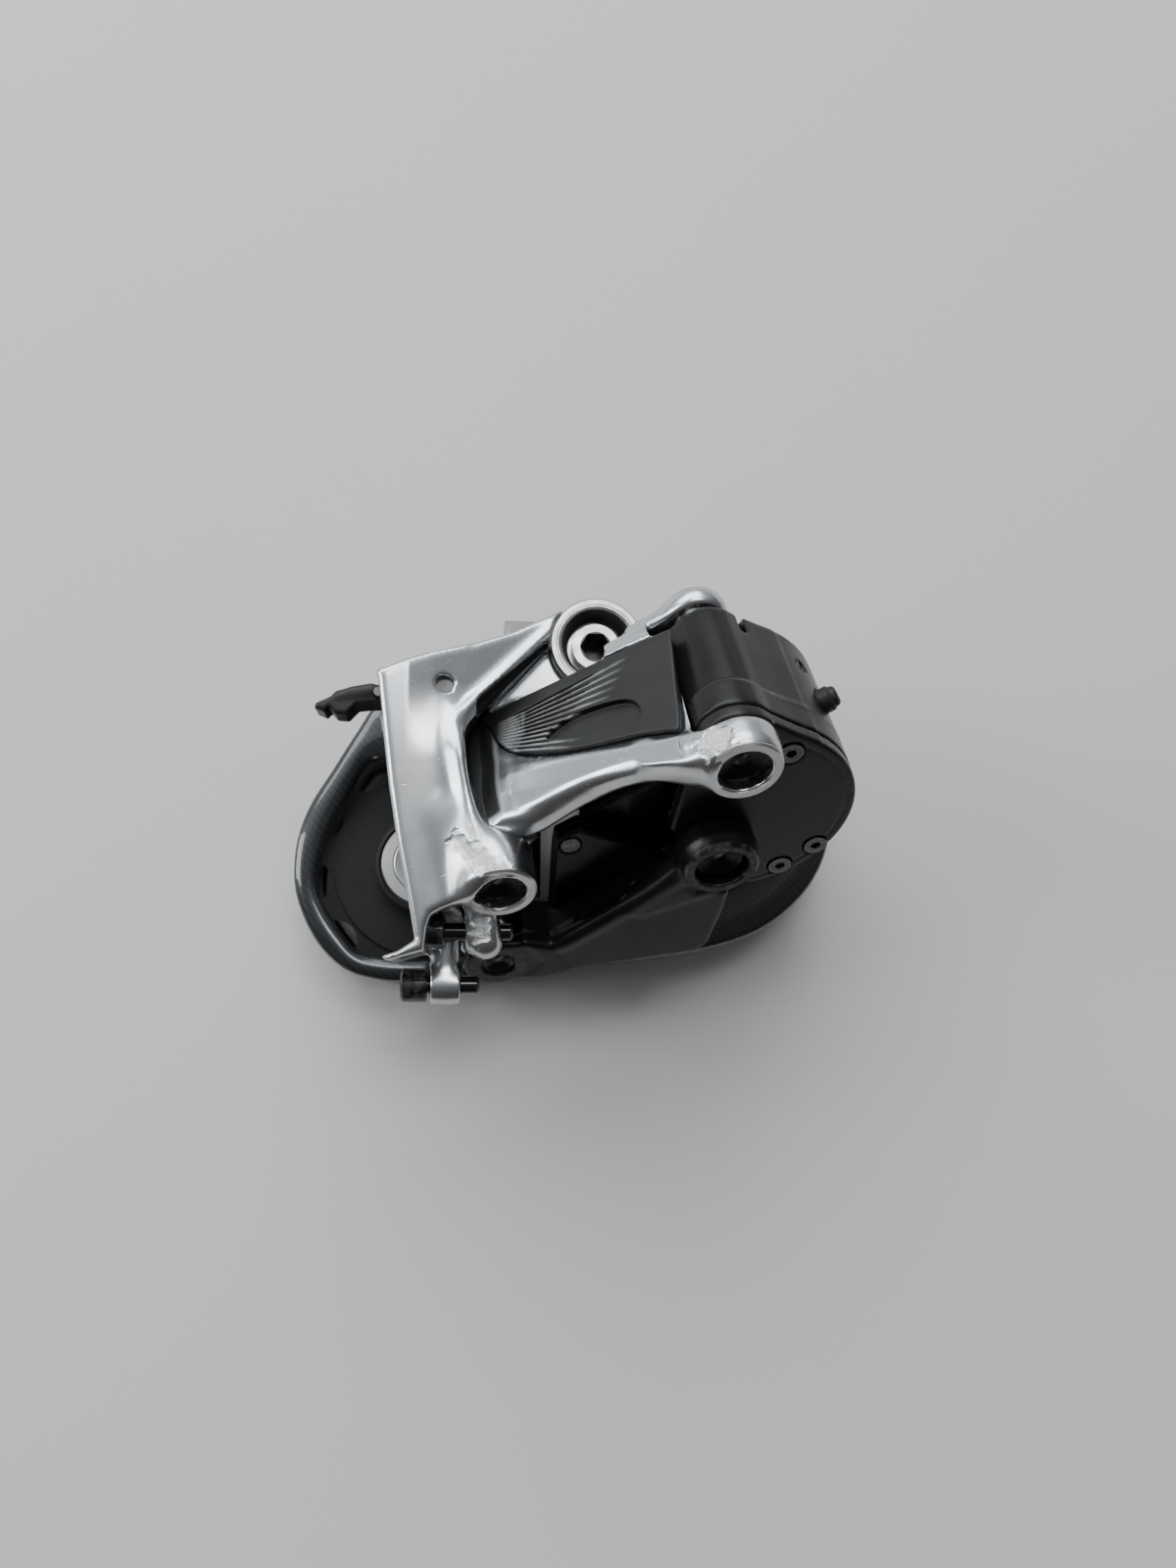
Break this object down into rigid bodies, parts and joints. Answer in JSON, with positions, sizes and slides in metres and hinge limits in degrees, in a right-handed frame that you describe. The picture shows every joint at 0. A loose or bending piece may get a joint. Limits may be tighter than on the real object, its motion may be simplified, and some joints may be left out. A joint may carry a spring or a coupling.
{
  "type": "rear derailleur",
  "caption": "Electronic rear bicycle derailleur with polished alloy linkage, sealed motor housing, folded pulley cage and battery seat.",
  "frame": {"origin": "hanger bolt axis at the face that meets the frame's hanger", "axes": "+Z along the hanger bolt, outboard; +X along the folded cage towards the pulley pivot; +Y across"},
  "size_m": [0.1062, 0.0742, 0.076],
  "materials": {
    "polished_alloy": "polished",
    "black_link": "satin",
    "panel_black": "satin",
    "window_black": "gloss",
    "housing_black": "satin",
    "cover_black": "satin",
    "carbon_gloss": "clear-coated carbon",
    "alloy_black": "anodised",
    "pulley_black": "matte",
    "bearing_steel": "ground",
    "cap_silver": "satin",
    "bolt_steel": "satin",
    "pin_black": "black oxide",
    "screw_black": "gloss black",
    "torx_steel": "satin",
    "latch_plastic": "matte",
    "contact_gold": "plated",
    "spring_steel": "drawn",
    "motor_steel": "satin",
    "board_green": "matte",
    "gear_brass": "machined",
    "lens_clear": "gloss",
    "seal_rubber": "matte"
  },
  "bodies": {
    "hanger_mount": {"hanger_bolt": "bolt_steel", "bolt_circlip": "bearing_steel", "b_tab_washer": "bolt_steel"},
    "b_knuckle": {"b_knuckle": "polished_alloy", "hanger_boss_collar": "polished_alloy", "battery_contact_block": "latch_plastic", "battery_contact_pins": "contact_gold", "latch_spring_pin": "bolt_steel", "latch_hinge_pin": "bearing_steel", "outer_pivot_pin_upper": "pin_black", "inner_pivot_pin_upper": "pin_black"},
    "limit_screw_high": {"limit_screw_high": "screw_black"},
    "limit_screw_low": {"limit_screw_low": "screw_black"},
    "battery_latch": {"battery_latch": "latch_plastic", "latch_spring": "spring_steel"},
    "outer_link": {"outer_link": "polished_alloy", "outer_link_panel": "panel_black", "panel_window": "window_black", "outer_link_bushings": "bearing_steel", "outer_pivot_pin_lower": "pin_black"},
    "inner_link": {"inner_link": "black_link", "inner_link_cover": "black_link", "inner_link_cover_screw": "torx_steel"},
    "p_knuckle": {"motor_housing": "housing_black", "gearbox_cover": "cover_black", "gearbox_cover_screws": "torx_steel", "drive_motor": "motor_steel", "control_board": "board_green", "reduction_gear_shaft": "bearing_steel", "output_gear_shaft": "bearing_steel", "status_light_lens": "lens_clear", "inner_pivot_pin_lower": "pin_black", "cage_seal": "seal_rubber", "cage_spring": "spring_steel", "reduction_gear": "gear_brass", "output_gear": "gear_brass"},
    "function_button": {"function_button": "latch_plastic"},
    "cage": {"cage_outer_plate": "carbon_gloss", "cage_inner_plate": "alloy_black", "pulley_bolts": "bolt_steel", "cage_pivot_axle": "bearing_steel", "cage_stop_pin": "bearing_steel", "guide_bearing_sleeve": "bearing_steel", "guide_bearing_caps": "cap_silver", "tension_bearing_sleeve": "bearing_steel", "tension_bearing_caps": "cap_silver"},
    "guide_pulley": {"guide_pulley": "pulley_black", "guide_bearing": "bearing_steel"},
    "tension_pulley": {"tension_pulley": "pulley_black", "tension_bearing": "bearing_steel"}
  },
  "joints": [
    {"name": "hanger_pivot", "type": "hinge", "parent": "hanger_mount", "child": "b_knuckle", "pos_m": [0, 0, 0], "axis": [0, 0, 1], "range_deg": [0, 20]},
    {"name": "outer_link_swing", "type": "hinge", "parent": "b_knuckle", "child": "outer_link", "pos_m": [-0.01716, -0.04572, 0.022], "axis": [0.0972, -0.8403, 0.5333], "range_deg": [-60, 2]},
    {"name": "inner_link_swing", "type": "hinge", "parent": "b_knuckle", "child": "inner_link", "pos_m": [-0.01667, -0.05836, 0.002], "axis": [0.0972, -0.8403, 0.5333], "range_deg": [-60, 2]},
    {"name": "p_knuckle_pivot", "type": "hinge", "parent": "outer_link", "child": "p_knuckle", "pos_m": [0.01922, -0.02865, 0.04226], "axis": [0.0972, -0.8403, 0.5333], "range_deg": [-2, 60]},
    {"name": "function_button_press", "type": "slide", "parent": "p_knuckle", "child": "function_button", "axis": [-0.8084, -0.3792, -0.4501], "range_m": [0, 0.0006], "stiffness_N_per_m": 600},
    {"name": "cage_pivot", "type": "hinge", "parent": "p_knuckle", "child": "cage", "pos_m": [0.034, -0.029, -0.0125], "axis": [0, 0, 1], "range_deg": [0, 115], "stiffness_Nm_per_rad": 0.25, "springref_deg": -34.38, "deforming": ["cage_spring"]},
    {"name": "guide_pulley_spin", "type": "hinge", "parent": "cage", "child": "guide_pulley", "pos_m": [0.022, -0.0305, -0.019], "axis": [0, 0, 1], "continuous": true},
    {"name": "tension_pulley_spin", "type": "hinge", "parent": "cage", "child": "tension_pulley", "pos_m": [-0.031, -0.0378, -0.019], "axis": [0, 0, 1], "continuous": true},
    {"name": "battery_latch_swing", "type": "hinge", "parent": "b_knuckle", "child": "battery_latch", "pos_m": [-0.0382, -0.0118, 0.0138], "axis": [0, 0, 1], "range_deg": [-30, 0], "stiffness_Nm_per_rad": 0.02},
    {"name": "limit_screw_high_turn", "type": "hinge", "parent": "b_knuckle", "child": "limit_screw_high", "pos_m": [-0.0262, -0.052, 0.012], "axis": [1, 0, 0], "range_deg": [-180, 180]},
    {"name": "limit_screw_low_turn", "type": "hinge", "parent": "b_knuckle", "child": "limit_screw_low", "pos_m": [-0.0292, -0.061, 0.006], "axis": [1, 0, 0], "range_deg": [-180, 180]}
  ],
  "couplings": [
    {"joint": "inner_link_swing", "follows": "outer_link_swing", "ratio": 1},
    {"joint": "p_knuckle_pivot", "follows": "outer_link_swing", "ratio": -1}
  ]
}
